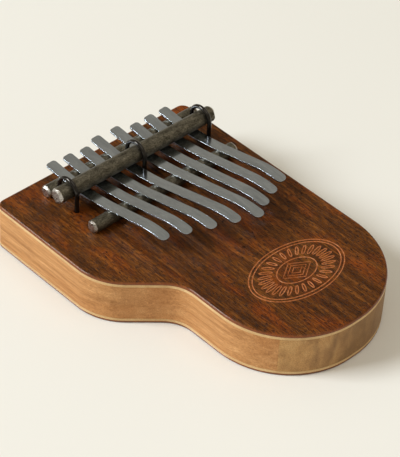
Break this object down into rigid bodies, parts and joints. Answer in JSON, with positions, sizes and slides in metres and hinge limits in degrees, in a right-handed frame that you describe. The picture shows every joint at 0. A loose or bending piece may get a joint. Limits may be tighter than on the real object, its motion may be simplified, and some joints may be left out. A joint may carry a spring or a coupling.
{
  "type": "thumb piano",
  "caption": "Hand-held thumb piano: spring-steel tines clamped over two rod bridges by a pressure bar on a laminated wooden board with one cut-away side.",
  "frame": {"origin": "middle of the back face's bounding box, on the surface that the board lies on", "axes": "+Y along the board to the square top end, -Y to the round end that faces the player; +X to the player's right; +Z out of the playing face"},
  "size_m": [0.121, 0.165, 0.0415],
  "materials": {
    "dark_walnut_face": "satin varnish",
    "pale_ply": "satin varnish",
    "core_wood_left": "satin varnish",
    "core_wood_right": "satin varnish",
    "dark_steel_rod": "blackened, worn, cut ends bright",
    "black_wire": "blackened",
    "zinc_fastener": "dull zinc",
    "spring_steel": "polished, fine brushing"
  },
  "bodies": {
    "body": {"soundboard_face": "dark_walnut_face", "soundboard_ply": "pale_ply", "core_left": "core_wood_left", "core_right": "core_wood_right", "back_ply": "pale_ply", "back_face": "dark_walnut_face", "pressure_bar": "dark_steel_rod", "back_bridge": "dark_steel_rod", "front_bridge": "dark_steel_rod", "u_bolt_left": "black_wire", "u_bolt_middle": "black_wire", "u_bolt_right": "black_wire", "u_bolt_washers": "zinc_fastener", "u_bolt_nuts": "zinc_fastener", "tine_1_root": "spring_steel", "tine_2_root": "spring_steel", "tine_3_root": "spring_steel", "tine_4_root": "spring_steel", "tine_5_root": "spring_steel", "tine_6_root": "spring_steel", "tine_7_root": "spring_steel", "tine_8_root": "spring_steel"},
    "blade_1": {"tine_1_blade": "spring_steel"},
    "blade_2": {"tine_2_blade": "spring_steel"},
    "blade_3": {"tine_3_blade": "spring_steel"},
    "blade_4": {"tine_4_blade": "spring_steel"},
    "blade_5": {"tine_5_blade": "spring_steel"},
    "blade_6": {"tine_6_blade": "spring_steel"},
    "blade_7": {"tine_7_blade": "spring_steel"},
    "blade_8": {"tine_8_blade": "spring_steel"}
  },
  "joints": [
    {"name": "tine_1_flex", "type": "hinge", "parent": "body", "child": "blade_1", "pos_m": [-0.02535, 0.03674, 0.03148], "axis": [0.9981, 0.061, 0], "range_deg": [-3, 5], "stiffness_Nm_per_rad": 0.3},
    {"name": "tine_2_flex", "type": "hinge", "parent": "body", "child": "blade_2", "pos_m": [-0.01575, 0.03674, 0.03148], "axis": [0.9981, 0.061, 0], "range_deg": [-3, 5], "stiffness_Nm_per_rad": 0.3},
    {"name": "tine_3_flex", "type": "hinge", "parent": "body", "child": "blade_3", "pos_m": [-0.00615, 0.03674, 0.03148], "axis": [0.9981, 0.061, 0], "range_deg": [-3, 5], "stiffness_Nm_per_rad": 0.3},
    {"name": "tine_4_flex", "type": "hinge", "parent": "body", "child": "blade_4", "pos_m": [0.00345, 0.03674, 0.03148], "axis": [0.9981, 0.061, 0], "range_deg": [-3, 5], "stiffness_Nm_per_rad": 0.3},
    {"name": "tine_5_flex", "type": "hinge", "parent": "body", "child": "blade_5", "pos_m": [0.01525, 0.03674, 0.03148], "axis": [0.9981, 0.061, 0], "range_deg": [-3, 5], "stiffness_Nm_per_rad": 0.3},
    {"name": "tine_6_flex", "type": "hinge", "parent": "body", "child": "blade_6", "pos_m": [0.02485, 0.03674, 0.03148], "axis": [0.9981, 0.061, 0], "range_deg": [-3, 5], "stiffness_Nm_per_rad": 0.3},
    {"name": "tine_7_flex", "type": "hinge", "parent": "body", "child": "blade_7", "pos_m": [0.03445, 0.03674, 0.03148], "axis": [0.9981, 0.061, 0], "range_deg": [-3, 5], "stiffness_Nm_per_rad": 0.3},
    {"name": "tine_8_flex", "type": "hinge", "parent": "body", "child": "blade_8", "pos_m": [0.04405, 0.03674, 0.03148], "axis": [0.9981, 0.061, 0], "range_deg": [-3, 5], "stiffness_Nm_per_rad": 0.3}
  ]
}
